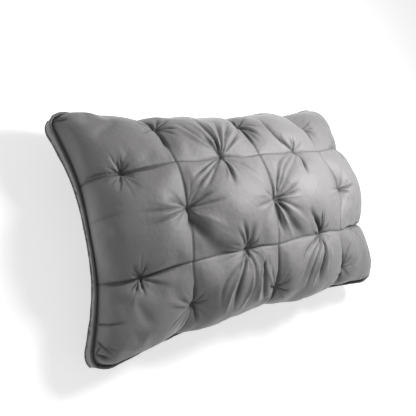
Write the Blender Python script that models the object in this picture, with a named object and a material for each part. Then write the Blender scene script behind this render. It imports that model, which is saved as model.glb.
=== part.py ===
"""Feather pillow insert with pinch pleats, lying on its back. Metres, +Z up, +X along its length.

The filled cushion is one solid: two panels sewn from four columns by three rows of cells, with a
pinched pleat in the middle of each seam. A narrow side band and two piping cords run round it.
"""

import math

import bpy
import numpy as np

# Finished sizes of the plumped pillow, whose flat cut is 740 by 480 mm.
HALF_LENGTH = 0.328         # middle of an end to the centre
HALF_WIDTH = 0.205          # middle of a long side to the centre
SIDE_SHIFT = 0.005          # how far both long sides lie to -Y of the seams between them
CORNER_RADIUS = 0.038
FLARE_POWER = 1.4
# How many mm further out each corner's ear reaches: end, side, in x, in y.
CORNERS = (
    (-1, 1, 41, 36),
    (-1, -1, 44, 31),
    (1, 1, 27, 25),
    (1, -1, 31, 16),
)
FRONT_LOFT = 0.115          # crown of the front panel above the side band
BACK_LOFT = 0.084           # crown of the back panel below it, before the floor presses it flat
FLOOR_DEPTH = 0.088         # middle of the side band down to the floor
FLOOR_EASE = 0.004          # how softly the back panel meets the floor

BAND_WIDTH = 0.026
BAND_THICKNESS = 0.0016
PIPING_RADIUS = 0.0025
PIPING_SIDES = 6
CLEARANCE = 0.0003          # between pieces that touch
PANEL_INSET = 0.0056        # the panel's sewn edge lies this far inside the band's outer face

# The side band doesn't lie level: its ends and long sides hang, and the pillow is a little twisted.
END_DROOP = 0.012
SIDE_DROOP = 0.030
CORNER_LIFT = 0.017
TWIST = 0.018

# The crown follows a superellipse, and is slightly fuller to one end and one side.
ROUNDNESS_X = 2.3
ROUNDNESS_Y = 2.0
EVEN_SPREAD = 0.5           # share of the rows' spacing that is even at the ends
EVEN_SPREAD_POWER = 6
FULLER_X = 0.06
FULLER_Y = 0.04

COLUMNS = 4
ROWS = 3
HALF_COLUMNS = COLUMNS / 2  # a place on the panel is counted in cells from its middle
HALF_ROWS = ROWS / 2
CELL_LENGTH = 0.185         # of cloth, seam to seam
CELL_WIDTH = 0.160

# How the front's cells stand up from their seams.
DOME = 0.019                # rise of a middle cell
DOME_POWER = 0.75
DIAGONAL_PUFF = 0.005       # rise between the lines that join neighbouring pinches
DIAGONAL_POWER = 0.8
SIDE_PUFF = 0.0215          # rise of the cells along a long side
END_PUFF = 0.0195           # and along an end
EDGE_PUFF_POWER = 0.65
END_ZONE = (0.9, 1.4)       # columns from the middle over which the cells along an end take over
SIDE_ZONE = (0.5, 0.9)      # rows from the middle, the same for a long side
BACK_FIRMNESS = 0.45        # the back panel's quilting is this much shallower
# Fullness of each of the front's cells, from the left end, top row first.
FULLNESS = (
    (0.56, 0.72, 0.78, 0.55),
    (1.00, 1.00, 1.00, 1.00),
    (0.60, 0.76, 1.00, 0.60),
)
# Where a cell's puff starts and is full, in metres of cloth in from an end and from a long side.
END_PUFF_RUN = (0.003, 0.048)
SIDE_PUFF_RUN = (0.003, 0.026)
PINCH_DEPTH = 0.0135
PINCH_RADIUS = 0.019
SEAM_DEPTH = 0.003
SEAM_HALF_WIDTH = 0.006
SHIFT_RADIUS = 0.038        # how far round a seam crossing or pinch its shift is felt
HELD_EDGE = 0.15            # share of the half panel, next to its edge, that resists that shift

# How far the panels' sewn edges stand out, or in, along the middle of an end and of a long side.
FRONT_EDGE_OUT = (0.008, -0.005)
BACK_EDGE_OUT = (0.0, -0.006)
EDGE_OUT_POWER = 5

# Where one half cell is cut into faces: close together at the seams, wide between them.
CUTS = (0.0, 0.07, 0.22, 0.5, 0.78, 0.93)

# Pinches of the front panel: column, row, then the sewer's unevenness in x and y in mm.
FRONT_PINCHES = (
    (-1.5, 0.5, -6, -1),
    (-0.5, 0.5, 6, 12),
    (0.5, 0.5, 11, 7),
    (1.5, 0.5, 2, 10),
    (-1.5, -0.5, -6, -3),
    (-0.5, -0.5, 18, -5),
    (0.5, -0.5, 24, -7),
    (1.5, -0.5, -10, -3),
    (-1.0, 1.0, 8, 6),
    (-1.0, 0.0, -2, 6),
    (-1.0, -1.0, 13, 1),
    (0.0, 1.0, 2, 12),
    (0.0, 0.0, 4, -3),
    (0.0, -1.0, 2, -17),
    (1.0, 1.0, 5, -8),
    (1.0, 0.0, 22, -4),
    (1.0, -1.0, 9, -11),
)
# Seam crossings of the front panel, in the same columns.
FRONT_CROSSINGS = (
    (-1, 0.5, 1, 6),
    (0, 0.5, -4, 4),
    (1, 0.5, -6, 0),
    (-1, -0.5, -6, 1),
    (0, -0.5, -8, -6),
    (1, -0.5, -8, -5),
)
# The hidden back panel is sewn on the same grid, evenly.
BACK_PINCHES = tuple((column, row, 0, 0) for column, row, _, _ in FRONT_PINCHES)


def smooth_step(value, low, high):
    share = np.clip((value - low) / (high - low), 0, 1)
    return share * share * (3 - 2 * share)


def crown_profile(half_size, roundness, share):
    """Place and height, both 0 to 1, at a share of the cloth from the crown to the sewn edge."""
    angle = np.linspace(0, math.pi / 2, 400)
    place = np.sin(angle) ** (2 / roundness)
    height = np.cos(angle) ** (2 / roundness)
    steps = np.hypot(np.diff(half_size * place), np.diff(FRONT_LOFT * height))
    run = np.concatenate([[0], np.cumsum(steps)])
    run /= run[-1]
    return np.interp(share, run, place), np.interp(share, run, height)


def band_height(across, up):
    """Height of the middle of the side band, carried on inwards over the whole pillow."""
    level = -END_DROOP * across**2 - SIDE_DROOP * up**2
    return level + CORNER_LIFT * across**2 * up**2 - TWIST * across * up


def flare(share):
    """How much of a corner's reach is felt at a share of the way along the edge to it."""
    return np.sin(math.pi / 2 * np.abs(share) ** FLARE_POWER) ** 2


def round_corner(place_x, place_y):
    """Moves the grid's corners in, so that the outline turns each one on an arc."""
    zone_x = CORNER_RADIUS / HALF_LENGTH
    zone_y = CORNER_RADIUS / HALF_WIDTH
    p = np.clip((place_x - 1 + zone_x) / zone_x, 0, 1)
    q = np.clip((place_y - 1 + zone_y) / zone_y, 0, 1)
    in_x = zone_x * (p - p * np.sqrt(1 - q * q / 2))
    in_y = zone_y * (q - q * np.sqrt(1 - p * p / 2))
    return place_x - in_x, place_y - in_y


def base_surface(across, up, loft):
    """The smooth crowned panel, before it is quilted. across and up run from -1 to 1."""
    half_x = HALF_LENGTH - PANEL_INSET
    half_y = HALF_WIDTH - PANEL_INSET
    for end, side, reach_x, reach_y in CORNERS:
        quarter = (np.sign(across) == end) & (np.sign(up) == side)
        half_x = half_x + quarter * reach_x * flare(up) / 1000
        half_y = half_y + quarter * reach_y * flare(across) / 1000
    place_x, height_x = crown_profile(HALF_LENGTH, ROUNDNESS_X, np.abs(across))
    place_y, height_y = crown_profile(HALF_WIDTH, ROUNDNESS_Y, np.abs(up))
    spread = EVEN_SPREAD * np.abs(across) ** EVEN_SPREAD_POWER
    place_y = place_y * (1 - spread) + np.abs(up) * spread
    fullness = 1 + FULLER_X * across + FULLER_Y * up
    place_x, place_y = round_corner(place_x, place_y)
    x = np.sign(across) * place_x * half_x
    y = np.sign(up) * place_y * half_y - SIDE_SHIFT * up * up
    height = loft * fullness * height_x * height_y
    return x, y, height


def in_from_edge(across, up):
    """0 at the side band, and 1 where a cell has its full puff."""
    to_end = (1 - np.abs(across)) * HALF_COLUMNS * CELL_LENGTH
    to_side = (1 - np.abs(up)) * HALF_ROWS * CELL_WIDTH
    return smooth_step(to_end, *END_PUFF_RUN) * smooth_step(to_side, *SIDE_PUFF_RUN)


def cell_fullness(column, row):
    """Fullness of the cell that each place is in."""
    at_column = np.clip(np.floor(column + HALF_COLUMNS), 0, COLUMNS - 1).astype(int)
    at_row = np.clip(np.floor(HALF_ROWS - row), 0, ROWS - 1).astype(int)
    return np.array(FULLNESS)[at_row, at_column]


def puff_height(across, up, pinches, even):
    """How far the quilting lifts or lowers the panel along its own normal."""
    column = across * HALF_COLUMNS
    row = up * HALF_ROWS
    end_cells = smooth_step(np.abs(column), *END_ZONE)
    side_cells = smooth_step(np.abs(row), *SIDE_ZONE)
    along_side = np.abs(np.sin(math.pi * column))
    along_end = np.abs(np.cos(math.pi * row))
    diagonal = np.abs(np.sin(math.pi * (column + row)) * np.sin(math.pi * (column - row)))
    side_rise = SIDE_PUFF * side_cells * along_side**EDGE_PUFF_POWER
    end_rise = END_PUFF * end_cells * along_end**EDGE_PUFF_POWER
    corner_rise = SIDE_PUFF * (along_side * along_end) ** EDGE_PUFF_POWER
    corner_cells = end_cells * side_cells
    rise = np.maximum(side_rise, end_rise) * (1 - corner_cells) + corner_cells * corner_rise
    middle_rise = DOME * (along_side * along_end) ** DOME_POWER + DIAGONAL_PUFF * diagonal**DIAGONAL_POWER
    rise = rise + middle_rise * (1 - end_cells) * (1 - side_cells)
    if not even:
        rise = rise * cell_fullness(column, row)
    to_column_seam = np.abs(column - np.clip(np.round(column), -1, 1)) * CELL_LENGTH
    to_row_seam = np.abs(np.abs(row) - 0.5) * CELL_WIDTH
    for distance in (to_column_seam, to_row_seam):
        rise = rise - SEAM_DEPTH * np.exp(-((distance / SEAM_HALF_WIDTH) ** 2))
    for at_column, at_row, _, _ in pinches:
        distance = np.hypot((column - at_column) * CELL_LENGTH, (row - at_row) * CELL_WIDTH)
        rise = rise - PINCH_DEPTH * np.exp(-distance / PINCH_RADIUS)
    return rise * in_from_edge(across, up)


def uneven_shift(across, up, places):
    """The in-plane unevenness of hand sewing, felt round each pinch and crossing."""
    column = across * HALF_COLUMNS
    row = up * HALF_ROWS
    shift_x = np.zeros_like(across)
    shift_y = np.zeros_like(across)
    for at_column, at_row, millimetres_x, millimetres_y in places:
        distance = np.hypot((column - at_column) * CELL_LENGTH, (row - at_row) * CELL_WIDTH)
        felt = np.exp(-((distance / SHIFT_RADIUS) ** 2)) / 1000
        shift_x = shift_x + millimetres_x * felt
        shift_y = shift_y + millimetres_y * felt
    to_edge = np.minimum(1 - np.abs(across), 1 - np.abs(up))
    held = smooth_step(to_edge, 0, HELD_EDGE)
    return shift_x * held, shift_y * held


def edge_shift(share, along, reach, fade_power):
    """How far the sewn edge stands out at a share of the way to it, most in the middle of its length."""
    return reach * np.sign(share) * np.abs(share) ** EDGE_OUT_POWER * (1 - np.abs(along) ** fade_power)


def panel_points(across, up, loft, side, pinches, crossings):
    """Points of one quilted panel: side is 1 for the front and -1 for the back."""
    x, y, height = base_surface(across, up, loft)
    z = band_height(across, up) + side * (BAND_WIDTH / 2 + height)
    points = np.stack([x, y, z], -1)
    run_x = np.gradient(points, axis=0)
    run_y = np.gradient(points, axis=1)
    normal = np.cross(run_x, run_y) * side
    normal /= np.linalg.norm(normal, axis=-1, keepdims=True)
    firmness = 1 if side > 0 else BACK_FIRMNESS
    points = points + normal * firmness * puff_height(across, up, pinches, side < 0)[..., None]
    shift_x, shift_y = uneven_shift(across, up, pinches + crossings)
    out_end, out_side = FRONT_EDGE_OUT if side > 0 else BACK_EDGE_OUT
    points[..., 0] += shift_x + edge_shift(across, up, out_end, 2)
    points[..., 1] += shift_y + edge_shift(up, across, out_side, 4)
    return points


def press_to_floor(points):
    """Flattens what would sink into the floor, and eases the cloth down to it."""
    above = points[..., 2] + FLOOR_DEPTH
    eased = (above + FLOOR_EASE) ** 2 / (4 * FLOOR_EASE)
    above = np.where(above < FLOOR_EASE, np.where(above < -FLOOR_EASE, 0, eased), above)
    points[..., 2] = above
    return points


def grid_lines(half_cells):
    """Places from -1 to 1 of the lines that cut a panel into faces."""
    cuts = [cell + cut for cell in range(half_cells) for cut in CUTS]
    return np.array(cuts + [half_cells]) / half_cells * 2 - 1


def rim_of(grid):
    """The points round the edge of a grid, anticlockwise from above."""
    return np.concatenate([grid[:-1, 0], grid[-1, :-1], grid[:0:-1, -1], grid[0, :0:-1]])


def outward(rim):
    """Level unit normals of a closed rim."""
    along = np.roll(rim, -1, axis=0) - np.roll(rim, 1, axis=0)
    normal = np.stack([along[:, 1], -along[:, 0], np.zeros(len(rim))], -1)
    return normal / np.linalg.norm(normal, axis=1, keepdims=True)


def offset(rim, out, up):
    """The rim moved outwards and up."""
    return rim + outward(rim) * out + np.array([0, 0, up])


def fabric(name, colour, roughness):
    material = bpy.data.materials.new(name)
    material.use_nodes = True
    shader = material.node_tree.nodes["Principled BSDF"]
    shader.inputs["Base Color"].default_value = (*colour, 1)
    shader.inputs["Roughness"].default_value = roughness
    shader.inputs["Metallic"].default_value = 0
    return material


def add_object(name, points, faces, material):
    mesh = bpy.data.meshes.new(name)
    mesh.from_pydata([tuple(point) for point in points], [], faces)
    mesh.materials.append(material)
    mesh.shade_smooth()
    node = bpy.data.objects.new(name, mesh)
    bpy.context.scene.collection.objects.link(node)
    return node


def ring_solid(name, rings, material):
    """A closed ring whose section's corners each follow one of the rings, anticlockwise seen along it."""
    around = len(rings[0])
    corners = len(rings)
    faces = []
    for corner in range(corners):
        here = corner * around
        there = (corner + 1) % corners * around
        for step in range(around):
            ahead = (step + 1) % around
            faces.append((here + step, here + ahead, there + ahead, there + step))
    return add_object(name, np.concatenate(rings), faces, material)


def grid_faces(grid_numbers, flipped):
    """Two triangles for each cell of a grid of point numbers."""
    faces = []
    for i in range(grid_numbers.shape[0] - 1):
        for j in range(grid_numbers.shape[1] - 1):
            a, b = grid_numbers[i, j], grid_numbers[i + 1, j]
            c, d = grid_numbers[i + 1, j + 1], grid_numbers[i, j + 1]
            faces += [(a, b, c), (a, c, d)] if (i + j) % 2 else [(a, b, d), (b, c, d)]
    return [tuple(reversed(face)) for face in faces] if flipped else faces


def filled_cushion(front, back, front_wall, back_wall, material):
    """Front panel, back panel and the wall that the side band covers, as one solid."""
    size_x, size_y = front.shape[:2]
    count = size_x * size_y
    front_numbers = np.arange(count).reshape(size_x, size_y)
    back_numbers = front_numbers + count
    around = len(front_wall)
    points = [front.reshape(-1, 3), back.reshape(-1, 3), front_wall, back_wall]
    rings = [
        rim_of(front_numbers),
        np.arange(around) + 2 * count,
        np.arange(around) + 2 * count + around,
        rim_of(back_numbers),
    ]
    faces = grid_faces(front_numbers, False) + grid_faces(back_numbers, True)
    for upper, lower in zip(rings, rings[1:]):
        for step in range(around):
            ahead = (step + 1) % around
            faces.append((upper[step], lower[step], lower[ahead], upper[ahead]))
    return add_object("filled_cushion", np.concatenate(points), faces, material)


def side_band(front_rim, back_rim, material):
    """The narrow strip sewn between the two panels."""
    inner = PANEL_INSET - BAND_THICKNESS
    return ring_solid(
        "side_band",
        [
            offset(front_rim, inner, 0),
            offset(back_rim, inner, 0),
            offset(back_rim, PANEL_INSET, 0),
            offset(front_rim, PANEL_INSET, 0),
        ],
        material,
    )


def piping(name, rim, side, material):
    """A piping cord along one edge of the side band."""
    centre_out = PANEL_INSET - BAND_THICKNESS / 2
    centre_up = side * (PIPING_RADIUS + CLEARANCE)
    rings = []
    for corner in range(PIPING_SIDES):
        angle = 2 * math.pi * (corner + 0.5) / PIPING_SIDES
        out = centre_out + PIPING_RADIUS * math.cos(angle)
        rings.append(offset(rim, out, centre_up + PIPING_RADIUS * math.sin(angle)))
    return ring_solid(name, rings, material)


def build_pillow():
    cloth = fabric("grey_sateen", (0.206, 0.200, 0.202), 0.45)
    trim = fabric("grey_trim", (0.188, 0.183, 0.185), 0.55)
    lines_x = grid_lines(2 * COLUMNS)
    lines_y = grid_lines(2 * ROWS)
    across, up = np.meshgrid(lines_x, lines_y, indexing="ij")
    front = panel_points(across, up, FRONT_LOFT, 1, FRONT_PINCHES, FRONT_CROSSINGS)
    back = panel_points(across, up, BACK_LOFT, -1, BACK_PINCHES, ())
    front[..., 2] += FLOOR_DEPTH
    back = press_to_floor(back)
    outline = offset(rim_of(front), PANEL_INSET + PIPING_RADIUS, 0)[:, :2]
    middle = (outline.min(axis=0) + outline.max(axis=0)) / 2
    front[..., :2] -= middle
    back[..., :2] -= middle
    front_rim = rim_of(front)
    back_rim = rim_of(back)
    wall_out = PANEL_INSET - BAND_THICKNESS - CLEARANCE
    filled_cushion(
        front,
        back,
        offset(front_rim, wall_out, -CLEARANCE),
        offset(back_rim, wall_out, CLEARANCE),
        cloth,
    )
    side_band(front_rim, back_rim, trim)
    piping("front_piping", front_rim, 1, trim)
    piping("back_piping", back_rim, -1, trim)


for old in list(bpy.data.objects):
    bpy.data.objects.remove(old)
build_pillow()
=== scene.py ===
# Looks of the feather pillow insert: quilted cover, side band, piping, sewing, light and camera
import math

import bpy
import numpy as np
from mathutils import Matrix, Vector


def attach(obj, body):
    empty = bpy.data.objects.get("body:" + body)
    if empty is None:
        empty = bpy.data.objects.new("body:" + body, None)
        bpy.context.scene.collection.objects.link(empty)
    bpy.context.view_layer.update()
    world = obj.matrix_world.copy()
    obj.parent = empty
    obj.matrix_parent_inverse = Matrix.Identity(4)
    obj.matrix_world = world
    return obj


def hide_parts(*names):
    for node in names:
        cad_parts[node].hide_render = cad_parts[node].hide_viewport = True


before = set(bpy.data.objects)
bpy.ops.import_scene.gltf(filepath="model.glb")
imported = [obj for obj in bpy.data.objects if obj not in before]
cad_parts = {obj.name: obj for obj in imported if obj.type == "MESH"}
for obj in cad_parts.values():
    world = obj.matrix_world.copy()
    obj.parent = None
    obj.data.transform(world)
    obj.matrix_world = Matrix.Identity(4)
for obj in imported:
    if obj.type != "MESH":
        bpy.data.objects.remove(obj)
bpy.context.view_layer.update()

mm = 0.001

# the sewn pillow, in metres
pillow = {
    "halfLength": 0.328,
    "halfWidth": 0.205,
    "sideShift": 0.005,
    "cornerRadius": 0.038,
    "flarePower": 1.4,
    # end, side, then how far the corner reaches out along x and y, in mm
    "corners": ((-1, 1, 41, 36), (-1, -1, 44, 31), (1, 1, 25, 31), (1, -1, 30, 20)),
    "frontLoft": 0.115,
    "backLoft": 0.084,
    "floorDepth": 0.088,  # middle of the side band down to the floor
    "floorEase": 0.004,
    "bandWidth": 0.026,
    "bandThickness": 0.0016,
    "pipingRadius": 0.0025,
    "clearance": 0.0003,
    "panelInset": 0.0056,  # the panel's sewn edge lies this far inside the band's face
    "evenShare": 0.5,  # how far the cloth is spread evenly at the two ends
    "evenPower": 6,
    "endDroop": 0.012,
    "sideDroop": 0.030,
    "cornerLift": 0.017,
    "twist": 0.018,
    "roundnessX": 2.3,
    "roundnessY": 2.0,
    "fullerX": 0.06,
    "fullerY": 0.04,
    "columns": 4,
    "rows": 3,
}
halfColumns = pillow["columns"] / 2  # a place on a panel is counted in cells from its middle
halfRows = pillow["rows"] / 2
cellLength = 0.185  # of cloth, seam to seam
cellWidth = 0.160


def smoothStep(value, low, high):
    share = np.clip((value - low) / (high - low), 0, 1)
    return share * share * (3 - 2 * share)


def crownProfile(halfSize, roundness, share):
    # place and height, both 0 to 1, at a share of the cloth from the crown to the sewn edge
    angle = np.linspace(0, math.pi / 2, 400)
    place = np.sin(angle) ** (2 / roundness)
    height = np.cos(angle) ** (2 / roundness)
    run = np.hypot(np.diff(halfSize * place), np.diff(pillow["frontLoft"] * height))
    run = np.concatenate([[0], np.cumsum(run)])
    return np.interp(share, run / run[-1], place), np.interp(share, run / run[-1], height)


def bandHeight(across, up):
    # height of the middle of the side band, carried on inwards over the whole pillow
    level = -pillow["endDroop"] * across**2 - pillow["sideDroop"] * up**2
    return level + pillow["cornerLift"] * across**2 * up**2 - pillow["twist"] * across * up


def roundCorner(placeX, placeY):
    zoneX = pillow["cornerRadius"] / pillow["halfLength"]
    zoneY = pillow["cornerRadius"] / pillow["halfWidth"]
    p = np.clip((placeX - 1 + zoneX) / zoneX, 0, 1)
    q = np.clip((placeY - 1 + zoneY) / zoneY, 0, 1)
    inX = zoneX * (p - p * np.sqrt(1 - q * q / 2))
    inY = zoneY * (q - q * np.sqrt(1 - p * p / 2))
    return placeX - inX, placeY - inY


def baseSurface(across, up, loft):
    # the smooth crowned panel before it is quilted, across and up from -1 to 1
    halfX = pillow["halfLength"] - pillow["panelInset"]
    halfY = pillow["halfWidth"] - pillow["panelInset"]
    for end, side, reachX, reachY in pillow["corners"]:
        quarter = (np.sign(across) == end) & (np.sign(up) == side)
        flareX = np.sin(math.pi / 2 * np.abs(up) ** pillow["flarePower"]) ** 2
        flareY = np.sin(math.pi / 2 * np.abs(across) ** pillow["flarePower"]) ** 2
        halfX = halfX + quarter * reachX * mm * flareX
        halfY = halfY + quarter * reachY * mm * flareY
    placeX, heightX = crownProfile(pillow["halfLength"], pillow["roundnessX"], np.abs(across))
    placeY, heightY = crownProfile(pillow["halfWidth"], pillow["roundnessY"], np.abs(up))
    spread = pillow["evenShare"] * np.abs(across) ** pillow["evenPower"]
    placeY = placeY * (1 - spread) + np.abs(up) * spread
    placeX, placeY = roundCorner(placeX, placeY)
    x = np.sign(across) * placeX * halfX
    y = np.sign(up) * placeY * halfY - pillow["sideShift"] * up * up
    fullness = 1 + pillow["fullerX"] * across + pillow["fullerY"] * up
    return x, y, loft * fullness * heightX * heightY


# how the cells stand up from their seams, in metres
frontQuilt = {
    "dome": 0.019, "domePower": 0.75, "diagonal": 0.005, "diagonalPower": 0.8,
    "sidePuff": 0.0215, "endPuff": 0.0195, "edgePower": 0.65,
    "pinch": 0.0100, "pinchRadius": 0.017, "knot": 0.004, "knotRadius": 0.0040,
    "seam": 0.0014, "seamHalf": 0.0022, "quick": 0.09,
}
backQuilt = {
    "dome": 0.003, "domePower": 0.6, "diagonal": 0.0045, "diagonalPower": 0.8,
    "sidePuff": 0.0095, "endPuff": 0.0078, "edgePower": 0.65,
    "pinch": 0.009, "pinchRadius": 0.022, "knot": 0.002, "knotRadius": 0.006,
    "seam": 0.0018, "seamHalf": 0.0045, "quick": 0,
}
# how the puff of a cell comes up from the side band: a quick first share that closes on the piping.
# the zones, in cells from the middle, are where the outer cells take over from the inner ones
puffRise = {
    "quickOver": 0.003, "slowFrom": 0.001, "fullAtEnd": 0.048, "fullAtSide": 0.026,
    "endZone": (0.9, 1.4), "sideZone": (0.5, 0.9),
}
# fullness of each cell, from the left end, top row first
fullness = (
    (0.56, 0.72, 0.78, 0.45),
    (1.00, 1.00, 1.00, 1.00),
    (0.60, 0.76, 1.00, 0.48),
)
# how far the sewn edges of the front and the back stand out or in along the middle of each side
edgeOut = {
    "frontEnd": 0.008, "frontSide": -0.005, "backEnd": 0.0, "backSide": -0.010,
    "power": 5, "endFade": 2, "sideFade": 4,
}

# pinched pleats of the front: column, row, then how far the sewer's hand put each one off, in mm
pinches = (
    (-1.5, 0.5, -6, -1), (-0.5, 0.5, 6, 12), (0.5, 0.5, 11, 7), (1.5, 0.5, 2, 10),
    (-1.5, -0.5, -6, -3), (-0.5, -0.5, 18, -5), (0.5, -0.5, 24, -7), (1.5, -0.5, -10, -3),
    (-1.0, 1.0, 8, 6), (-1.0, 0.0, -2, 6), (-1.0, -1.0, 13, 1), (0.0, 1.0, 2, 12),
    (0.0, 0.0, 4, -3), (0.0, -1.0, 2, -17), (1.0, 1.0, 5, -8), (1.0, 0.0, 22, -4), (1.0, -1.0, 9, -11),
)
crossings = (
    (-1, 0.5, 1, 6), (0, 0.5, -4, 4), (1, 0.5, -6, 0),
    (-1, -0.5, -6, 1), (0, -0.5, -8, -6), (1, -0.5, -8, -5),
)
shiftReach = {"radius": 0.038, "drawnX": 0.89, "drawnY": 0.86, "heldEdge": 0.15}


def riseOf(across, up, quilt):
    # how far the quilting lifts or lowers a panel along its own normal
    column, row = across * halfColumns, up * halfRows
    alongSide = np.abs(np.sin(math.pi * column))
    alongEnd = np.abs(np.cos(math.pi * row))
    diagonal = np.abs(np.sin(math.pi * (column + row)) * np.sin(math.pi * (column - row)))
    endCells = smoothStep(np.abs(column), *puffRise["endZone"])
    sideCells = smoothStep(np.abs(row), *puffRise["sideZone"])
    sideRise = quilt["sidePuff"] * sideCells * alongSide ** quilt["edgePower"]
    endRise = quilt["endPuff"] * endCells * alongEnd ** quilt["edgePower"]
    cornerRise = quilt["sidePuff"] * (alongSide * alongEnd) ** quilt["edgePower"]
    corner = endCells * sideCells
    rise = np.maximum(sideRise, endRise) * (1 - corner) + corner * cornerRise
    dome = quilt["dome"] * (alongSide * alongEnd) ** quilt["domePower"]
    dome = dome + quilt["diagonal"] * diagonal ** quilt["diagonalPower"]
    rise = rise + dome * (1 - endCells) * (1 - sideCells)
    if quilt is frontQuilt:
        atColumn = np.clip(np.floor(column + halfColumns), 0, pillow["columns"] - 1).astype(int)
        atRow = np.clip(np.floor(halfRows - row), 0, pillow["rows"] - 1).astype(int)
        rise = rise * np.array(fullness)[atRow, atColumn]
    toColumnSeam = (column - np.clip(np.round(column), -1, 1)) * cellLength
    toRowSeam = (np.abs(row) - 0.5) * cellWidth
    for distance in (toColumnSeam, toRowSeam):
        rise = rise - quilt["seam"] * np.exp(-((distance / quilt["seamHalf"]) ** 2))
    for atColumn, atRow, _, _ in pinches:
        distance = np.hypot((column - atColumn) * cellLength, (row - atRow) * cellWidth)
        rise = rise - quilt["pinch"] * np.exp(-distance / quilt["pinchRadius"])
        rise = rise - quilt["knot"] * np.exp(-((distance / quilt["knotRadius"]) ** 2))
    return rise * inFromEdge(across, up, quilt["quick"])


def seamDistance(across, up):
    column, row = across * halfColumns, up * halfRows
    toColumnSeam = np.abs(column - np.clip(np.round(column), -1, 1)) * cellLength
    toRowSeam = np.abs(np.abs(row) - 0.5) * cellWidth
    return np.minimum(toColumnSeam, toRowSeam)


def inFromEdge(across, up, quickShare=0):
    # 0 at the side band, 1 where a cell has its full puff
    toEnd = (1 - np.abs(across)) * halfColumns * cellLength
    toSide = (1 - np.abs(up)) * halfRows * cellWidth
    quick = smoothStep(np.minimum(toEnd, toSide), 0, puffRise["quickOver"])
    slow = smoothStep(toEnd, puffRise["slowFrom"], puffRise["fullAtEnd"])
    slow = slow * smoothStep(toSide, puffRise["slowFrom"], puffRise["fullAtSide"])
    return quickShare * quick + (1 - quickShare) * slow


def sewnOff(across, up):
    # sideways shift of the front's pleats and seam crossings
    column, row = across * halfColumns, up * halfRows
    shift = np.zeros(across.shape + (2,))
    for atColumn, atRow, offX, offY in pinches + crossings:
        x = (column - atColumn) * cellLength * shiftReach["drawnX"]
        y = (row - atRow) * cellWidth * shiftReach["drawnY"]
        near = np.exp(-((np.hypot(x, y) / shiftReach["radius"]) ** 2))
        shift += near[..., None] * np.array([offX, offY]) * mm
    held = smoothStep(np.minimum(1 - np.abs(across), 1 - np.abs(up)), 0, shiftReach["heldEdge"])
    return shift * held[..., None]


def gridNormals(points):
    normal = np.cross(np.gradient(points, axis=0), np.gradient(points, axis=1))
    return normal / np.maximum(np.linalg.norm(normal, axis=-1, keepdims=True), 1e-12)


def panelPoints(across, up, side, rise):
    # side is 1 for the front panel and -1 for the back
    loft = pillow["frontLoft"] if side > 0 else pillow["backLoft"]
    x, y, height = baseSurface(across, up, loft)
    z = bandHeight(across, up) + side * (pillow["bandWidth"] / 2 + height)
    points = np.stack([x, y, z], -1)
    points = points + side * gridNormals(points) * rise[..., None]
    if side > 0:
        points[..., :2] += sewnOff(across, up)
    face = "front" if side > 0 else "back"
    toEnd = np.sign(across) * np.abs(across) ** edgeOut["power"] * (1 - up ** edgeOut["endFade"])
    toSide = np.sign(up) * np.abs(up) ** edgeOut["power"] * (1 - across ** edgeOut["sideFade"])
    points[..., 0] += edgeOut[face + "End"] * toEnd
    points[..., 1] += edgeOut[face + "Side"] * toSide
    points[..., 2] += pillow["floorDepth"]
    return points


def pressToFloor(points):
    ease = pillow["floorEase"]
    above = points[..., 2]
    eased = (above + ease) ** 2 / (4 * ease)
    points[..., 2] = np.where(above < ease, np.where(above < -ease, 0, eased), above)
    return points


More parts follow.
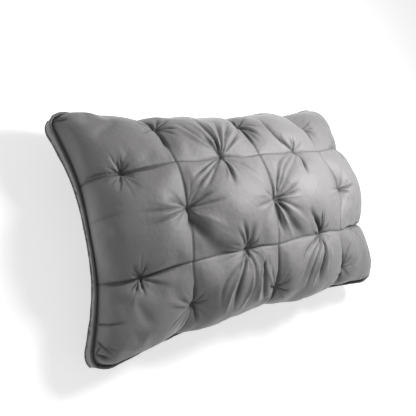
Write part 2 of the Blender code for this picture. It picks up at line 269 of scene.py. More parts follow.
# folds that run out from each pleat of the front, or from another place on it.
# heading in degrees, near and far ends in mm, bow in mm, depth in mm (a ridge is below 0),
# half width in mm, and the lip beside it as a share of the depth, to its left if above 0
folds = {
    (-0.5, 0.5): (
        (111, 1, 60, 1, 8.0, 4.2, 0), (104, 4, 96, 3, -3.4, 2.8, 0), (93, 3, 104, 1, 5.6, 3.8, 0),
        (82, 4, 96, 2, -3.4, 3.0, 0), (68, 4, 100, 3, 5.0, 3.4, 0), (57, 6, 116, 8, -4.4, 4.2, 0),
        (50, 6, 108, 5, 5.4, 3.2, 0), (41, 8, 110, 6, -4.0, 3.2, 0), (34, 12, 98, 4, 4.6, 2.8, 0),
        (29, 8, 94, 3, -3.2, 2.8, 0), (119, 16, 108, 4, 3.0, 3.6, 0), (126, 18, 100, 3, -2.4, 3.6, 0),
        (134, 20, 94, 2, 2.4, 3.6, 0),
        (-153, 3, 96, -7, 5.4, 2.6, 0.35), (-145, 4, 112, -4, 5.2, 2.6, 0.35),
        (-137, 6, 84, -3, 3.8, 2.4, 0.3),
        (-95, 1, 60, 0, 6.6, 4.2, 0), (-84, 5, 52, 0, -3.2, 2.4, 0), (-107, 7, 52, 0, -2.6, 2.4, 0),
        (-66, 6, 46, 0, 2.2, 2.6, 0), (-45, 8, 54, -1, 2.2, 2.6, 0), (-33, 12, 86, 6, 2.0, 3.0, 0),
    ),
    (-1.0, 0.0): (
        (151, 2, 52, -3, 5.2, 2.8, 0), (158, 5, 76, 2, -3.6, 3.2, 0), (171, 3, 96, 0, 4.0, 2.8, 0),
        (178, 8, 80, 0, -1.8, 2.6, 0), (-174, 2, 88, 0, 4.4, 2.8, -0.4), (25, 3, 58, 2, 4.4, 2.8, -0.4),
        (8, 3, 72, 0, 3.4, 3.2, -0.3), (52, 10, 80, 0, 2.0, 2.6, 0), (-31, 4, 76, 0, -2.6, 4.0, 0),
        (-41, 6, 128, 0, -4.6, 13.0, -1.0), (132, 8, 46, 0, 1.8, 2.4, 0), (-150, 8, 50, 0, 1.6, 2.6, 0),
    ),
    (0.0, 0.0): (
        (154, 2, 38, 0, 4.8, 2.6, 0), (174, 4, 72, 0, -3.4, 3.2, 0), (-168, 3, 74, 0, 3.4, 3.0, 0),
        (-158, 8, 66, 0, -2.2, 2.6, 0), (23, 2, 66, -4, 3.8, 2.6, 0), (3, 2, 54, 0, 4.0, 2.4, 0),
        (-8, 4, 60, 0, -2.4, 2.8, 0), (43, 8, 116, 20, 4.0, 3.2, 0), (42, 10, 112, 15, -3.2, 2.6, 0),
        (42, 8, 112, 10, 4.4, 3.2, 0), (41, 10, 106, 5, -3.2, 2.6, 0), (41, 10, 98, 1, 3.4, 2.8, 0),
        (-75, 3, 74, -8, 5.2, 5.2, 0), (-66, 3, 92, -4, -4.8, 2.6, 0), (-55, 4, 108, -2, 7.5, 7.0, 0),
        (-42, 6, 100, 0, -3.6, 4.0, 0), (-33, 3, 70, 0, 3.2, 2.8, 0), (100, 6, 40, 0, 2.2, 2.4, 0),
    ),
    (0.5, 0.5): (
        (114, 0, 100, 14, 9.5, 5.0, 0.3), (95, 2, 34, 0, 3.6, 2.4, 0), (106, 4, 60, 8, -2.6, 2.6, 0),
        (74, 2, 30, 0, 3.8, 2.2, 0), (-100, 1, 58, 0, 7.0, 3.6, 0), (-110, 6, 50, 0, -2.8, 2.6, 0),
        (-89, 6, 48, 0, -2.6, 2.6, 0), (-74, 3, 44, 0, 3.0, 2.4, 0), (-40, 6, 50, 0, 1.8, 2.6, 0),
        (30, 6, 46, 0, 1.8, 2.6, 0),
    ),
    (1.0, 0.0): (
        (1, 1, 58, 0, 4.4, 2.4, 0.3), (10, 3, 44, 0, 2.4, 2.2, 0), (-33, 1, 24, -1, 4.0, 2.2, 0),
        (-166, 4, 68, 0, -3.0, 3.2, 0), (-176, 2, 50, 0, 3.0, 2.6, 0), (150, 2, 30, 0, 3.0, 2.4, 0),
        (60, 2, 30, 0, 2.4, 2.4, 0), (-70, 2, 30, 0, 2.4, 2.4, 0),
    ),
    (-0.5, -0.5): (
        (118, 2, 50, 0, 3.6, 2.8, 0), (110, 3, 56, 0, -4.0, 2.6, 0), (99, 3, 60, 0, 4.6, 4.6, 0),
        (70, 4, 54, 0, 3.8, 6.0, 0), (28, 4, 34, 0, 2.2, 2.4, 0), (-125, 2, 38, 0, 4.0, 2.4, 0),
        (-97, 6, 118, -16, -5.6, 3.4, 0), (-90, 2, 112, -10, 7.0, 5.2, 0), (-72, 1, 54, 0, 5.4, 2.6, 0),
        (-86, 8, 116, 13, -5.4, 3.4, 0), (-82, 8, 104, 20, 4.0, 4.0, 0), (150, 4, 44, 0, 1.8, 2.6, 0),
        (-104, 14, 104, -26, 3.6, 4.0, 0),
    ),
    (-0.26, -0.62): (
        (-81, 0, 106, -12, -5.8, 3.4, 0), (-72, 4, 100, -6, 6.6, 6.0, 0), (-101, 2, 50, 3, 3.8, 3.2, 0),
    ),
    (-0.17, -0.62): ((-72, 0, 34, 0, -3.0, 3.2, 0),),
    (0.0, -1.0): (
        (150, 2, 34, 0, 5.6, 2.8, 0), (128, 4, 86, 6, -3.4, 3.2, 0), (118, 4, 80, 2, 4.4, 3.0, 0),
        (94, 2, 34, 0, 4.4, 3.2, 0), (-90, 3, 44, 0, 4.4, 3.4, 0), (-16, 1, 30, 0, 3.0, 2.4, 0),
        (40, 2, 34, 0, 3.0, 2.4, 0), (-140, 2, 40, 4, 3.4, 3.2, 0),
    ),
    (0.5, -0.5): (
        (116, 0, 40, 0, 10.0, 4.8, 0.3), (118, 20, 62, 0, 5.4, 3.6, 0), (88, 2, 46, 0, 4.2, 2.6, 0),
        (32, 2, 36, 0, 4.0, 2.6, 0), (48, 2, 30, 0, -2.4, 2.4, 0), (60, 6, 44, 0, 2.4, 2.6, 0),
        (-131, 2, 74, -11, 4.8, 2.8, 0), (-125, 6, 82, -9, -3.8, 2.6, 0), (-118, 3, 92, -7, 4.8, 3.0, 0),
        (-109, 8, 92, -9, -3.6, 2.8, 0), (-101, 2, 112, -10, 5.6, 3.8, 0), (-93, 5, 104, -4, -5.0, 3.0, 0),
        (-84, 1, 100, 1, 10.0, 6.5, 0), (-74, 4, 84, 4, -4.0, 3.0, 0), (-64, 6, 66, 4, 2.8, 3.0, 0),
        (-30, 4, 40, 0, 2.0, 2.6, 0),
    ),
    (1.0, -1.0): (
        (38, 2, 44, 3, 4.6, 2.6, 0.3), (54, 4, 70, 8, 4.0, 2.6, 0.3), (-81, 2, 56, 0, 4.0, 3.2, 0),
        (92, 2, 36, 0, 4.0, 3.0, 0), (-163, 2, 40, -5, -3.0, 3.0, 0), (-120, 4, 44, 0, 3.4, 4.0, 0),
        (5, 2, 40, 0, 2.6, 2.4, 0), (-40, 2, 44, 0, 2.6, 2.8, 0),
    ),
    (1.5, -0.5): (
        (18, 1, 36, 0, 3.0, 2.4, 0), (-168, 2, 56, -2, 3.0, 3.0, 0), (-134, 2, 30, 1, 3.4, 2.4, 0),
        (-84, 2, 30, 0, 3.0, 2.4, 0), (180, 2, 80, 0, 3.6, 2.8, 0), (0, 2, 80, 0, 3.6, 2.8, 0),
    ),
    (1.5, 0.5): (
        (175, 2, 44, 0, 3.2, 2.6, 0), (110, 2, 34, 2, 3.2, 2.4, 0), (-120, 2, 42, 0, 3.4, 2.6, 0.3),
        (0, 2, 80, 0, 3.6, 2.8, 0),
    ),
    (-1.5, 0.5): (
        (92, 1, 24, 0, 3.6, 2.4, 0), (68, 2, 28, 0, 3.2, 2.2, 0), (38, 2, 26, 0, 3.4, 2.2, 0),
        (145, 2, 28, 0, 2.8, 2.4, 0), (-30, 2, 22, 0, 2.6, 2.2, 0), (0, 2, 84, 0, 4.6, 2.8, 0.3),
        (180, 3, 84, -5, 3.6, 2.6, 0), (-120, 2, 20, 0, 2.6, 2.2, 0),
    ),
    (-1.5, -0.5): (
        (-70, 0, 22, -3, 5.0, 2.2, -0.6), (-144, 2, 28, 0, 3.0, 2.4, 0), (-118, 2, 24, 0, 2.8, 2.2, 0),
        (123, 2, 30, 0, 3.0, 2.4, 0), (60, 2, 24, 0, 2.6, 2.2, 0), (-31, 6, 66, 3, 2.6, 3.2, 0),
        (0, 2, 78, 0, 4.6, 2.8, 0.3), (178, 3, 84, 4, 3.8, 2.6, 0), (-20, 8, 50, 0, -2.0, 3.0, 0),
    ),
    (-1.0, -1.0): (
        (144, 2, 68, 2, -4.0, 3.4, 0), (136, 2, 50, 0, 3.8, 3.0, 0), (154, 4, 60, 0, 3.4, 3.0, 0),
        (20, 1, 32, 0, 3.4, 2.4, 0), (-159, 2, 48, -2, 3.4, 2.8, 0), (-58, 2, 44, 0, 4.8, 3.2, 0),
        (92, 2, 50, 0, 4.2, 3.0, 0), (-100, 8, 52, 0, -3.0, 5.0, 0), (55, 3, 36, 0, 2.4, 2.6, 0),
    ),
    (-1.0, 1.0): (
        (20, 1, 44, 1, 3.8, 2.6, 0.3), (-20, 1, 40, 2, 3.8, 2.6, 0.3), (-48, 2, 44, 0, 3.0, 2.6, 0),
        (-93, 2, 60, 0, 6.0, 3.4, 0), (88, 2, 30, 0, 5.0, 3.2, 0), (150, 2, 36, 0, 3.0, 2.6, 0),
        (45, 2, 36, 0, 2.8, 2.6, 0), (-150, 4, 50, 0, 2.0, 3.0, 0),
    ),
    (0.0, 1.0): (
        (-60, 2, 54, 0, 4.8, 2.8, 0.3), (-75, 6, 66, 0, 3.0, 4.4, 0), (25, 2, 40, 0, 3.2, 2.4, 0),
        (-90, 2, 66, 0, 5.0, 3.2, 0), (90, 2, 30, 0, 4.6, 3.0, 0), (-128, 3, 48, 0, 3.2, 2.8, 0),
        (-30, 3, 40, 0, 2.6, 2.6, 0), (150, 2, 36, 0, 2.8, 2.6, 0),
    ),
    (1.0, 1.0): (
        (-54, 1, 38, -1, 4.2, 2.4, 0.3), (-61, 12, 58, -3, 2.8, 3.0, 0), (3, 2, 48, 2, 3.0, 2.6, 0),
        (-90, 2, 60, 0, 4.6, 3.0, 0), (-150, 2, 42, 0, 3.0, 2.6, 0), (-30, 3, 40, 0, 2.6, 2.4, 0),
    ),
    (-1.98, -0.885): ((0, 4, 74, 0, 4.2, 2.4, 0.2),),
    (-1.95, 0.09): ((2, 4, 76, 1, 2.2, 2.2, 0),),
    (-1.90, 1.32): (
        (-30, 0, 46, 0, 6.0, 3.4, 0), (-48, 2, 40, 0, -4.0, 3.0, 0), (-14, 4, 40, 0, -3.0, 3.0, 0),
    ),
    (-1.92, -1.05): ((-31, 0, 56, 2, 4.2, 2.4, 0.3), (-22, 8, 60, 2, 2.8, 2.2, 0)),
    (-1.90, -1.22): (
        (-8, 0, 40, 0, 7.0, 4.0, 0), (60, 0, 24, 0, 5.0, 3.0, 0), (25, 2, 30, 0, -4.0, 3.0, 0),
    ),
    (1.90, -1.22): (
        (150, 0, 46, 0, 5.0, 3.2, 0), (120, 0, 40, 3, -4.0, 3.0, 0), (185, 0, 46, 0, 4.0, 3.0, 0),
        (100, -10, 26, 2, 4.0, 2.6, 0.4), (70, -12, 22, 0, 3.4, 2.6, 0.4),
    ),
    (1.90, 1.24): ((-150, 0, 44, 0, 4.0, 3.2, 0), (-125, 2, 40, 0, -3.0, 3.0, 0)),
}
foldLimit = {"depth": 0.012, "edge": (0.001, 0.016), "reach": 130}
# a fold starts narrow, widens along its length, comes up fast at its near end and dies away at its far end
foldShape = {
    "narrow": 0.50, "widening": 0.6, "widths": (0.42, 1.05), "power": 1.2,
    "lipAside": 2.0, "lipWidth": 1.2, "rise": (-0.04, 0.10), "fall": (0.5, 1.0),
}


def foldRise(x, y, fold):
    # height of one fold at x and y mm from its pleat
    heading, near, far, bow, depth, half, lip = fold
    turn = math.radians(heading)
    along = x * math.cos(turn) + y * math.sin(turn)
    share = (along - near) / (far - near)
    aside = y * math.cos(turn) - x * math.sin(turn) - bow * 4 * share * (1 - share)
    width = half * np.clip(foldShape["narrow"] + foldShape["widening"] * share, *foldShape["widths"])
    trough = np.exp(-((np.abs(aside) / width) ** foldShape["power"]))
    fromLip = aside - np.sign(lip) * foldShape["lipAside"] * width
    ridge = abs(lip) * np.exp(-((fromLip / (foldShape["lipWidth"] * width)) ** 2))
    fade = smoothStep(share, *foldShape["rise"]) * (1 - smoothStep(share, *foldShape["fall"]))
    return -depth * fade * (trough - ridge)


def foldsRise(across, up, table):
    column, row = across * halfColumns, up * halfRows
    rise = np.zeros_like(across)
    for (atColumn, atRow), rows in table.items():
        x = (column - atColumn) * cellLength / mm
        y = (row - atRow) * cellWidth / mm
        close = np.hypot(x, y) < foldLimit["reach"]
        for fold in rows:
            rise[close] += foldRise(x[close], y[close], fold) * mm
    toEnd = (1 - np.abs(across)) * halfColumns * cellLength
    toSide = (1 - np.abs(up)) * halfRows * cellWidth
    held = smoothStep(np.minimum(toEnd, toSide), *foldLimit["edge"])
    return foldLimit["depth"] * np.tanh(rise / foldLimit["depth"]) * held


smallFolds = {
    "seed": 7, "each": 13, "near": (1, 9), "length": (14, 52), "depth": (0.8, 1.9), "half": (1.5, 2.3),
    "turnSlack": 0.35, "bow": 2, "lip": 0.4,
}
backFolding = dict(smallFolds, seed=12, half=(2.4, 3.4))


def shortFolds(places, spread):
    # fine creases all round each pleat
    draw = np.random.default_rng(spread["seed"])
    table = {}
    for atColumn, atRow, _, _ in places:
        rows = []
        for turn in range(spread["each"]):
            slack = draw.uniform(-spread["turnSlack"], spread["turnSlack"])
            heading = (turn + slack) * 360 / spread["each"]
            near = draw.uniform(*spread["near"])
            far = near + draw.uniform(*spread["length"])
            depth = draw.uniform(*spread["depth"])
            bow = draw.uniform(-spread["bow"], spread["bow"])
            rows.append((heading, near, far, bow, depth, draw.uniform(*spread["half"]), spread["lip"]))
        table[(atColumn, atRow)] = rows
    return table


looseCloth = {"seed": 21, "waves": 26, "length": (0.035, 0.11), "height": 0.0011}
looseBack = dict(looseCloth, seed=5)


def looseness(across, up, setting):
    # slow unevenness of the filling, as a sum of waves that run every way
    draw = np.random.default_rng(setting["seed"])
    x, y = across * halfColumns * cellLength, up * halfRows * cellWidth
    rise = np.zeros_like(across)
    for _ in range(setting["waves"]):
        turn, phase = draw.uniform(0, 2 * math.pi, 2)
        length = draw.uniform(*setting["length"])
        wave = (x * math.cos(turn) + y * math.sin(turn)) * 2 * math.pi / length
        rise += np.sin(wave + phase) * length / setting["length"][1]
    return rise * setting["height"] / math.sqrt(setting["waves"] / 2) * inFromEdge(across, up)


# lines of the cloth mesh, closer together at the seams and pleats
weaveLines = {"acrossHalfCell": 42, "upHalfCell": 36, "gather": 0.3}


def clothLines(halfCells, each, step):
    share = np.linspace(0, 1, halfCells * each // step + 1)
    wave = math.tau * halfCells
    return (share - weaveLines["gather"] * np.sin(wave * share) / wave) * 2 - 1


def clothGrid(step):
    linesX = clothLines(2 * pillow["columns"], weaveLines["acrossHalfCell"], step)
    linesY = clothLines(2 * pillow["rows"], weaveLines["upHalfCell"], step)
    return np.meshgrid(linesX, linesY, indexing="ij")


def rimOf(grid):
    # round the edge of a grid, anticlockwise from above
    return np.concatenate([grid[:-1, 0], grid[-1, :-1], grid[:0:-1, -1], grid[0, :0:-1]])


def outward(rim):
    along = np.roll(rim, -1, axis=0) - np.roll(rim, 1, axis=0)
    normal = np.stack([along[:, 1], -along[:, 0], np.zeros(len(rim))], -1)
    return normal / np.linalg.norm(normal, axis=1, keepdims=True)


def gridFaces(numbers, flipped):
    a, b, c, d = numbers[:-1, :-1], numbers[1:, :-1], numbers[1:, 1:], numbers[:-1, 1:]
    order = (d, c, b, a) if flipped else (a, b, c, d)
    return np.stack(order, -1).reshape(-1, 4).tolist()


def addPiece(name, points, faces, material):
    mesh = bpy.data.meshes.new(name)
    mesh.from_pydata(np.asarray(points, float).tolist(), [], faces)
    mesh.validate()
    mesh.shade_smooth()
    mesh.materials.append(material)
    piece = bpy.data.objects.new(name, mesh)
    bpy.context.scene.collection.objects.link(piece)
    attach(piece, "root")
    return piece


def layCloth(piece, places):
    # one uv map in metres of cloth, so that the weave follows the panel
    layer = piece.data.uv_layers.new(name="cloth")
    corners = np.empty(len(piece.data.loops), dtype=np.int32)
    piece.data.loops.foreach_get("vertex_index", corners)
    layer.data.foreach_set("uv", np.asarray(places)[corners].astype(np.float32).ravel())


class Wire:
    # an output socket whose operators add Math nodes to its own tree

    def __init__(self, socket):
        self.socket = socket
        self.tree = socket.id_data

    def maths(self, operation, *terms):
        return addNode(self.tree, "ShaderNodeMath", {"operation": operation}, dict(enumerate(terms)))

    def __add__(self, other):
        return self.maths("ADD", self, other)

    def __radd__(self, other):
        return self.maths("ADD", other, self)

    def __mul__(self, other):
        return self.maths("MULTIPLY", self, other)

    def __rmul__(self, other):
        return self.maths("MULTIPLY", other, self)

    def sine(self):
        return self.maths("SINE", self)


def addNode(tree, kind, settings=None, sockets=None, out=0):
    made = tree.nodes.new(kind)
    for name, value in (settings or {}).items():
        setattr(made, name, value)
    for name, value in (sockets or {}).items():
        if isinstance(value, Wire):
            tree.links.new(value.socket, made.inputs[name])
        else:
            made.inputs[name].default_value = value
    return Wire(made.outputs[out])


sateen = {
    "light": (0.222, 0.216, 0.218, 1), "dark": (0.190, 0.185, 0.187, 1),
    "roughness": 0.45, "sheen": 0.2, "sheenRoughness": 0.45, "specular": 0.30,
    "threads": 1500, "weaveDepth": 0.00004, "crumple": 0.0009, "crumpleScale": 130,
    "cloudScale": 22, "cloudShare": 0.6, "slubScale": (30, 900, 1), "roughSpread": 0.08,
    # painted shade: share and near-black colour that the base colour is darkened to in the creases and
    # along the seams
    "paintedShadeShare": 0.85, "paintedShadeColour": (0.03, 0.029, 0.029, 1),
}
trim = dict(sateen, light=(0.205, 0.200, 0.202, 1), dark=(0.170, 0.166, 0.168, 1), roughness=0.55)
thread = dict(sateen, light=(0.24, 0.235, 0.237, 1), dark=(0.20, 0.196, 0.198, 1), roughness=0.5,
              crumple=0)


def clothFinish(name, look):
    material = bpy.data.materials.new(name)
    material.use_nodes = True
    tree = material.node_tree
    shader = tree.nodes["Principled BSDF"]
    shader.inputs["Sheen Weight"].default_value = look["sheen"]
    shader.inputs["Sheen Roughness"].default_value = look["sheenRoughness"]
    shader.inputs["Specular IOR Level"].default_value = look["specular"]
    place = addNode(tree, "ShaderNodeUVMap", {"uv_map": "cloth"})
    cloudy = addNode(tree, "ShaderNodeTexNoise", None,
                     {"Vector": place, "Scale": look["cloudScale"], "Detail": 3})
    slub = addNode(tree, "ShaderNodeVectorMath", {"operation": "MULTIPLY"},
                   {0: place, 1: look["slubScale"]})
    streak = addNode(tree, "ShaderNodeTexNoise", None, {"Vector": slub, "Scale": 1, "Detail": 2})
    tone = cloudy * look["cloudShare"] + streak * (1 - look["cloudShare"])
    colour = addNode(tree, "ShaderNodeMix", {"data_type": "RGBA"},
                     {"Factor": tone, "A": look["dark"], "B": look["light"]}, 2)
    # painted shade: the base colour is darkened toward a near-black down in the creases and along the seams
    paintedShade = addNode(tree, "ShaderNodeAttribute", {"attribute_name": "paintedShade"}, None, 2)
    paintedShading = addNode(tree, "ShaderNodeMix", {"data_type": "RGBA"},
                     {"Factor": paintedShade * look["paintedShadeShare"], "A": colour, "B": look["paintedShadeColour"]}, 2)
    tree.links.new(paintedShading.socket, shader.inputs["Base Color"])
    rough = look["roughness"] - look["roughSpread"] / 2 + cloudy * look["roughSpread"]
    tree.links.new(rough.socket, shader.inputs["Roughness"])
    split = addNode(tree, "ShaderNodeSeparateXYZ", None, {0: place})
    splitY = Wire(split.socket.node.outputs["Y"])
    warp = (split * (look["threads"] * math.tau)).sine()
    weft = (splitY * (look["threads"] * math.tau)).sine()
    crumple = addNode(tree, "ShaderNodeTexNoise", None,
                      {"Vector": place, "Scale": look["crumpleScale"], "Detail": 4})
    height = warp * weft * look["weaveDepth"] + crumple * look["crumple"]
    bump = addNode(tree, "ShaderNodeBump", None, {"Height": height, "Distance": 1.0, "Strength": 1.0})
    tree.links.new(bump.socket, shader.inputs["Normal"])
    return material


clothSettle = {
    "frames": 20, "pressure": 4.0, "grow": -0.015, "cap": 0.004, "bending": 2.0, "stiffness": 12.0,
    "quality": 4, "mass": 0.2, "lightest": 0.01, "freeFrom": (0.004, 0.016), "calming": 1,
}


def settleCloth(points, held, setting):
    # blows up the sewn cells as cloth, held at their seams, and returns where the points come to rest
    mesh = bpy.data.meshes.new("cloth_trial")
    numbers = np.arange(points[..., 0].size).reshape(points.shape[:2])
    mesh.from_pydata(points.reshape(-1, 3).tolist(), [], gridFaces(numbers, False))
    trial = bpy.data.objects.new("cloth_trial", mesh)
    bpy.context.scene.collection.objects.link(trial)
    group = trial.vertex_groups.new(name="held")
    for number, weight in zip(numbers.ravel().tolist(), held.ravel().tolist()):
        if weight > setting["lightest"]:
            group.add([number], weight, "REPLACE")
    cloth = trial.modifiers.new("cloth", "CLOTH")
    cloth.settings.vertex_group_mass = "held"
    cloth.settings.quality = setting["quality"]
    cloth.settings.mass = setting["mass"]
    cloth.settings.tension_stiffness = setting["stiffness"]
    cloth.settings.compression_stiffness = setting["stiffness"]
    cloth.settings.bending_stiffness = setting["bending"]
    cloth.settings.shrink_min = setting["grow"]
    cloth.settings.use_pressure = True
    cloth.settings.uniform_pressure_force = setting["pressure"]
    cloth.settings.effector_weights.gravity = 0
    cloth.point_cache.frame_start = 1
    cloth.point_cache.frame_end = setting["frames"]
    for step in range(1, setting["frames"] + 1):
        bpy.context.scene.frame_set(step)
    settled = trial.evaluated_get(bpy.context.evaluated_depsgraph_get()).data
    places = np.empty(len(settled.vertices) * 3, dtype=np.float32)
    settled.vertices.foreach_get("co", places)
    bpy.context.scene.frame_set(1)
    bpy.data.objects.remove(trial)
    bpy.data.meshes.remove(mesh)
    move = places.reshape(points.shape).astype(float) - points
    far = np.linalg.norm(move, axis=-1, keepdims=True)
    return points + move * np.minimum(1, setting["cap"] / np.maximum(far, 1e-9))


def calmed(field):
    # evens out the smallest ripples, the edges left as they are
    for _ in range(clothSettle["calming"]):
        field[1:-1] = (field[:-2] + 2 * field[1:-1] + field[2:]) / 4
        field[:, 1:-1] = (field[:, :-2] + 2 * field[:, 1:-1] + field[:, 2:]) / 4
    return field


def spreadOut(coarse):
    # carries a move of every second point over to all the points of the fine grid
    sizeX, sizeY = coarse.shape[0] * 2 - 1, coarse.shape[1] * 2 - 1
    full = np.zeros((sizeX, sizeY, 3))
    full[::2, ::2] = coarse
    full[1::2, ::2] = (coarse[:-1] + coarse[1:]) / 2
    full[:, 1::2] = (full[:, :-1:2] + full[:, 2::2]) / 2
    return full


def middleOf(points):
    rim = rimOf(points)
    outline = rim + outward(rim) * (pillow["panelInset"] + pillow["pipingRadius"])
    return (outline[:, :2].min(axis=0) + outline[:, :2].max(axis=0)) / 2


# painted shade in the creases and along the seam grooves: depth of a crease for full shade, and the width
# and share of the shade at a seam
paintedShadeTone = {"full": 0.005, "seamHalf": 0.0016, "seamShare": 0.8}


def paintedShadeOf(across, up, details):
    # 0 on open cloth and 1 down in a crease or a seam: how far the base colour is darkened there, as
    # painted shade
    deep = np.clip(-details / paintedShadeTone["full"], 0, 1)
    seamShade = paintedShadeTone["seamShare"] * np.exp(-((seamDistance(across, up) / paintedShadeTone["seamHalf"]) ** 2))
    return np.maximum(deep, seamShade).ravel()


# stores the painted shade of the creases and seams on the cover's points
def markPaintedShade(piece, paintedShade):
    layer = piece.data.attributes.new("paintedShade", "FLOAT", "POINT")
    values = np.zeros(len(piece.data.vertices), dtype=np.float32)
    values[:len(paintedShade)] = paintedShade
    layer.data.foreach_set("value", values)


def buildCover(material):
    across, up = clothGrid(1)
    rise = riseOf(across, up, frontQuilt) + looseness(across, up, looseCloth)
    front = panelPoints(across, up, 1, rise)
    if clothSettle["frames"]:
        toSeam = seamDistance(across, up)
        held = np.maximum(1 - smoothStep(toSeam, *clothSettle["freeFrom"]), 1 - inFromEdge(across, up))
        move = settleCloth(front[::2, ::2], held[::2, ::2], clothSettle) - front[::2, ::2]
        print("cloth settled, most moved", round(float(np.linalg.norm(move, axis=-1).max()) / mm, 1), "mm")
        front = front + spreadOut(calmed(move))
    details = foldsRise(across, up, folds) + foldsRise(across, up, shortFolds(pinches, smallFolds))
    front = front + gridNormals(front) * details[..., None]
    backAcross, backUp = clothGrid(2)
    backRise = riseOf(backAcross, backUp, backQuilt) + looseness(backAcross, backUp, looseBack)
    backFolds = foldsRise(backAcross, backUp, shortFolds(pinches, backFolding))
    back = pressToFloor(panelPoints(backAcross, backUp, -1, backRise + backFolds))
    middle = middleOf(front)
    front[..., :2] -= middle
    back[..., :2] -= middle
    wallOut = pillow["panelInset"] - pillow["bandThickness"] - pillow["clearance"]
    frontRim, backRim = rimOf(front), rimOf(back)
    frontWall = frontRim + outward(frontRim) * wallOut - np.array([0, 0, pillow["clearance"]])
    backWall = backRim + outward(backRim) * wallOut + np.array([0, 0, pillow["clearance"]])
    numbers = np.arange(front[..., 0].size).reshape(front.shape[:2])
    backNumbers = np.arange(back[..., 0].size).reshape(back.shape[:2]) + numbers.size
    frontRing = rimOf(numbers)
    backRing = rimOf(backNumbers)
    wallRing = np.arange(len(frontWall)) + numbers.size + backNumbers.size
    lowRing = np.arange(len(backWall)) + wallRing[-1] + 1
    faces = gridFaces(numbers, False) + gridFaces(backNumbers, True)
    for upper, lower in ((frontRing, wallRing), (lowRing, backRing)):
        faces += np.stack([upper, lower, np.roll(lower, -1), np.roll(upper, -1)], -1).tolist()
    faces += np.stack([wallRing[::2], lowRing, np.roll(lowRing, -1), np.roll(wallRing, -2)[::2],
                       wallRing[1::2]], -1).tolist()
    points = np.concatenate([front.reshape(-1, 3), back.reshape(-1, 3), frontWall, backWall])
    cover = addPiece("quilted_cover", points, faces, material)
    size = np.array([halfColumns * cellLength, halfRows * cellWidth])
    frontPlaces = np.stack([across, up], -1).reshape(-1, 2) * size
    backPlaces = np.stack([backAcross, backUp], -1).reshape(-1, 2) * size
    wallPlaces = np.zeros((len(frontWall) + len(backWall), 2))
    layCloth(cover, np.concatenate([frontPlaces, backPlaces, wallPlaces]))
    # painted shade for the creases and seams of the front and the back
    frontPaintedShade = paintedShadeOf(across, up, details)
    markPaintedShade(cover, np.concatenate([frontPaintedShade, paintedShadeOf(backAcross, backUp, backFolds)]))
    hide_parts("filled_cushion")
    return front, frontRim, backRim


def ringPiece(name, rings, material, places):
    # a closed ring whose section's corners each follow one of the rings, anticlockwise seen along it
    around = len(rings[0])
    numbers = np.arange(len(rings) * around).reshape(len(rings), around)
    below, beside = np.roll(numbers, -1, axis=0), np.roll(numbers, -1, axis=1)
    faces = np.stack([numbers, beside, np.roll(below, -1, axis=1), below], -1).reshape(-1, 4).tolist()
    piece = addPiece(name, np.concatenate(rings), faces, material)
    layCloth(piece, np.concatenate(places))
    return piece


def waves(run, seed, lengths, count):
    # uneven gathers along a closed run, 0 to 1 of its length
    draw = np.random.default_rng(seed)
    total = np.zeros_like(run)
    for _ in range(count):
        turns = draw.integers(*lengths)
        total += np.sin(run * math.tau * turns + draw.uniform(0, math.tau)) * draw.uniform(0.4, 1)
    return total / math.sqrt(count)


bandLook = {
    "rows": 13, "gathers": (60, 190), "gatherCount": 14, "depth": 0.0014, "fadePower": 1.2,
    "gatherLean": 0.004, "held": 6, "buckles": (14, 40), "buckleCount": 8, "buckleDepth": 0.0018,
    "buckleLean": 0.003, "topSeed": 3, "bottomSeed": 4, "buckleSeed": 6,
}


def arcOf(rim):
    step = np.linalg.norm(np.roll(rim, -1, axis=0) - rim, axis=1)
    return np.concatenate([[0], np.cumsum(step)[:-1]]), step.sum()


def buildBand(frontRim, backRim, material):
    upper = frontRim[::2]
    lower = backRim
    run, total = arcOf(upper)
    share = run / total
    out = outward(upper)
    rings, places = [], []
    for row in range(bandLook["rows"]):
        down = row / (bandLook["rows"] - 1)
        slack = math.sin(math.pi * down)
        leant = share + bandLook["gatherLean"] * down
        top = waves(share, bandLook["topSeed"], bandLook["gathers"], bandLook["gatherCount"])
        bottom = waves(leant, bandLook["bottomSeed"], bandLook["gathers"], bandLook["gatherCount"])
        gathers = top * (1 - down) ** bandLook["fadePower"] + bottom * down ** bandLook["fadePower"]
        leant = share + bandLook["buckleLean"] * down
        buckle = waves(leant, bandLook["buckleSeed"], bandLook["buckles"], bandLook["buckleCount"]) * slack
        height = bandLook["depth"] * gathers * min(1, bandLook["held"] * slack)
        height = height + bandLook["buckleDepth"] * buckle
        face = pillow["panelInset"] + height[:, None]
        rings.append(upper * (1 - down) + lower * down + out * face)
        places.append(np.stack([run, np.full_like(run, down * pillow["bandWidth"])], -1))
    inner = pillow["panelInset"] - pillow["bandThickness"]
    for rim, row in ((lower, -1), (upper, 0)):
        rings.append(rim + out * inner)
        places.append(places[row])
    strip = ringPiece("side_strip", rings[::-1], material, places[::-1])
    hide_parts("side_band")
    return strip


pipingLook = {
    "sides": 12, "gathers": (150, 420), "gatherCount": 10, "swell": 0.00025, "swellSeed": 8,
    "bends": (20, 80), "bendCount": 8, "wander": 0.0004, "bendSeed": 18,
}


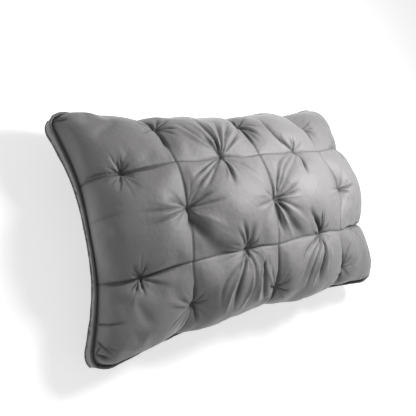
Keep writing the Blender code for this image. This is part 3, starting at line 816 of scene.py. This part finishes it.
def buildPiping(name, rim, side, material, node):
    run, total = arcOf(rim)
    share = run / total
    out = outward(rim)
    look = pipingLook
    swell = look["swell"] * waves(share, look["swellSeed"] + side, look["gathers"], look["gatherCount"])
    wander = look["wander"] * waves(share, look["bendSeed"] + side, look["bends"], look["bendCount"])
    middle = pillow["panelInset"] - pillow["bandThickness"] / 2
    rise = side * (pillow["pipingRadius"] + pillow["clearance"])
    rings, places = [], []
    for corner in range(look["sides"]):
        angle = math.tau * (corner + 0.5) / look["sides"]
        radius = pillow["pipingRadius"] + swell
        reach = middle + wander + radius * math.cos(angle)
        up = rise + radius * math.sin(angle)
        rings.append(rim + out * reach[:, None] + np.stack([0 * up, 0 * up, up], -1))
        places.append(np.stack([run, np.full_like(run, angle * pillow["pipingRadius"])], -1))
    cord = ringPiece(name, rings, material, places)
    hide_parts(node)
    return cord


stitchLook = {"pitch": 0.0034, "length": 0.0025, "radius": 0.00038, "lift": 0.0002}
# share of the stitch's length, and the thread's width and height there in radii
threadShape = {"sides": 5, "rings": ((0.15, 0.75, 0.1), (0.5, 1.0, 0.6), (0.85, 0.75, 0.1))}


def threadBit(start, end, normal, radius):
    # one stitch: a bit of thread, thick in the middle and pulled in at both ends
    along = end - start
    side = np.cross(along, normal)
    side /= max(np.linalg.norm(side), 1e-9)
    lift = np.cross(side, along)
    lift /= max(np.linalg.norm(lift), 1e-9)
    points = [start - lift * radius]
    sides = threadShape["sides"]
    for share, size, high in threadShape["rings"]:
        centre = start + along * share + lift * radius * high
        for turn in range(sides):
            angle = math.tau * turn / sides
            points.append(centre + (side * math.cos(angle) + lift * math.sin(angle)) * radius * size)
    points.append(end - lift * radius)
    faces = []
    last = 1 + sides * (len(threadShape["rings"]) - 1)
    for turn in range(sides):
        after = (turn + 1) % sides
        faces.append((0, 1 + after, 1 + turn))
        for ring in range(1, last, sides):
            faces.append((ring + turn, ring + after, ring + sides + after, ring + sides + turn))
        faces.append((last + sides, last + turn, last + after))
    return points, faces


def sewAlong(lines, look):
    points, faces = [], []
    for line, normals in lines:
        run = np.concatenate([[0], np.cumsum(np.linalg.norm(np.diff(line, axis=0), axis=1))])
        for start in np.arange(look["pitch"], run[-1] - look["pitch"], look["pitch"]):
            ends = [np.array([np.interp(place, run, line[:, axis]) for axis in range(3)])
                    for place in (start, start + look["length"])]
            normal = np.array([np.interp(start, run, normals[:, axis]) for axis in range(3)])
            raised = normal * look["lift"]
            newPoints, newFaces = threadBit(ends[0] + raised, ends[1] + raised, normal, look["radius"])
            faces += [tuple(number + len(points) for number in face) for face in newFaces]
            points += newPoints
    return points, faces


def buildStitches(front, material):
    normals = gridNormals(front)
    lines = []
    for seam in (-1, 0, 1):
        line = int((seam + halfColumns) * 2 * weaveLines["acrossHalfCell"])
        lines.append((front[line], normals[line]))
    for seam in (-0.5, 0.5):
        line = int((seam + halfRows) * 2 * weaveLines["upHalfCell"])
        lines.append((front[:, line], normals[:, line]))
    points, faces = sewAlong(lines, stitchLook)
    piece = addPiece("seam_stitches", points, faces, material)
    layCloth(piece, np.array(points)[:, :2])


tackLook = {"bars": 6, "length": 0.0055, "pitch": 0.0011, "radius": 0.00045, "lift": 0.0006}


def buildTacks(front, material):
    # a short bar of thread that holds each pleat
    normals = gridNormals(front)
    points, faces = [], []
    for atColumn, atRow, _, _ in pinches:
        i = int((atColumn + halfColumns) * 2 * weaveLines["acrossHalfCell"])
        j = int((atRow + halfRows) * 2 * weaveLines["upHalfCell"])
        crossSeam = abs(atRow) == 0.5
        ahead = front[i, j + 1] - front[i, j - 1] if crossSeam else front[i + 1, j] - front[i - 1, j]
        ahead = ahead / np.linalg.norm(ahead)
        beside = np.cross(normals[i, j], ahead)
        for bar in range(tackLook["bars"]):
            shift = (bar - (tackLook["bars"] - 1) / 2) * tackLook["pitch"]
            centre = front[i, j] + normals[i, j] * tackLook["lift"] + beside * shift
            half = ahead * tackLook["length"] / 2
            newPoints, newFaces = threadBit(centre - half, centre + half, normals[i, j], tackLook["radius"])
            faces += [tuple(number + len(points) for number in face) for face in newFaces]
            points += newPoints
    piece = addPiece("pleat_tacks", points, faces, material)
    layCloth(piece, np.array(points)[:, :2])


view = {
    "place": (-0.6937, -0.0924, 0.982),
    "right": (0.8079, -0.23, 0.5426),
    "up": (0.1327, 0.968, 0.2129),
    "ahead": (0.5742, 0.1, -0.8126),
    "lens": 46.28,
}


def setCamera():
    data = bpy.data.cameras.new("camera")
    data.sensor_width = 36
    data.lens = view["lens"]
    camera = bpy.data.objects.new("camera", data)
    bpy.context.scene.collection.objects.link(camera)
    right, up, back = Vector(view["right"]), Vector(view["up"]), -Vector(view["ahead"])
    turn = Matrix((right, up, back)).transposed().to_4x4()
    camera.matrix_world = Matrix.Translation(view["place"]) @ turn
    bpy.context.scene.camera = camera


studio = {
    "floorColour": (0.90, 0.90, 0.90, 1), "floorGlow": 0.58, "floorHalf": 6.0, "floorBelow": 0.0004,
    "floorRoughness": 0.9, "sky": 0.34,
    "keyPlace": (0.27, 0.17, 0.72), "keyAim": (0.0, 0.0, 0.12), "keySize": 0.24, "keyPower": 7.4,
}


def setStudio():
    half = studio["floorHalf"]
    mesh = bpy.data.meshes.new("floor")
    low = -studio["floorBelow"]
    corners = [(-half, -half, low), (half, -half, low), (half, half, low), (-half, half, low)]
    mesh.from_pydata(corners, [], [(0, 1, 2, 3)])
    floor = bpy.data.objects.new("floor", mesh)
    bpy.context.scene.collection.objects.link(floor)
    paint = bpy.data.materials.new("pale_floor")
    paint.use_nodes = True
    finish = paint.node_tree.nodes["Principled BSDF"].inputs
    finish["Base Color"].default_value = studio["floorColour"]
    finish["Roughness"].default_value = studio["floorRoughness"]
    finish["Emission Color"].default_value = studio["floorColour"]
    finish["Emission Strength"].default_value = studio["floorGlow"]
    mesh.materials.append(paint)
    world = bpy.data.worlds.new("studio")
    world.use_nodes = True
    sky = world.node_tree.nodes["Background"].inputs
    sky["Color"].default_value = (1, 1, 1, 1)
    sky["Strength"].default_value = studio["sky"]
    bpy.context.scene.world = world
    bpy.context.scene.view_settings.view_transform = "Standard"
    toKey = Vector(studio["keyPlace"]) - Vector(studio["keyAim"])
    data = bpy.data.lights.new("key", "AREA")
    data.size = studio["keySize"]
    data.energy = studio["keyPower"]
    key = bpy.data.objects.new("key", data)
    turn = toKey.to_track_quat("Z", "Y").to_matrix().to_4x4()
    key.matrix_world = Matrix.Translation(studio["keyPlace"]) @ turn
    key.visible_camera = False
    bpy.context.scene.collection.objects.link(key)


setCamera()
setStudio()
coverCloth = clothFinish("grey_sateen", sateen)
trimCloth = clothFinish("grey_trim", trim)
sewingThread = clothFinish("sewing_thread", thread)
front, frontRim, backRim = buildCover(coverCloth)
print("cover made")
buildBand(frontRim, backRim, trimCloth)
buildPiping("piping_front", frontRim[::2], 1, trimCloth, "front_piping")
buildPiping("piping_back", backRim, -1, trimCloth, "back_piping")
print("band and piping made")
buildStitches(front, sewingThread)
buildTacks(front, sewingThread)
print("sewing made")
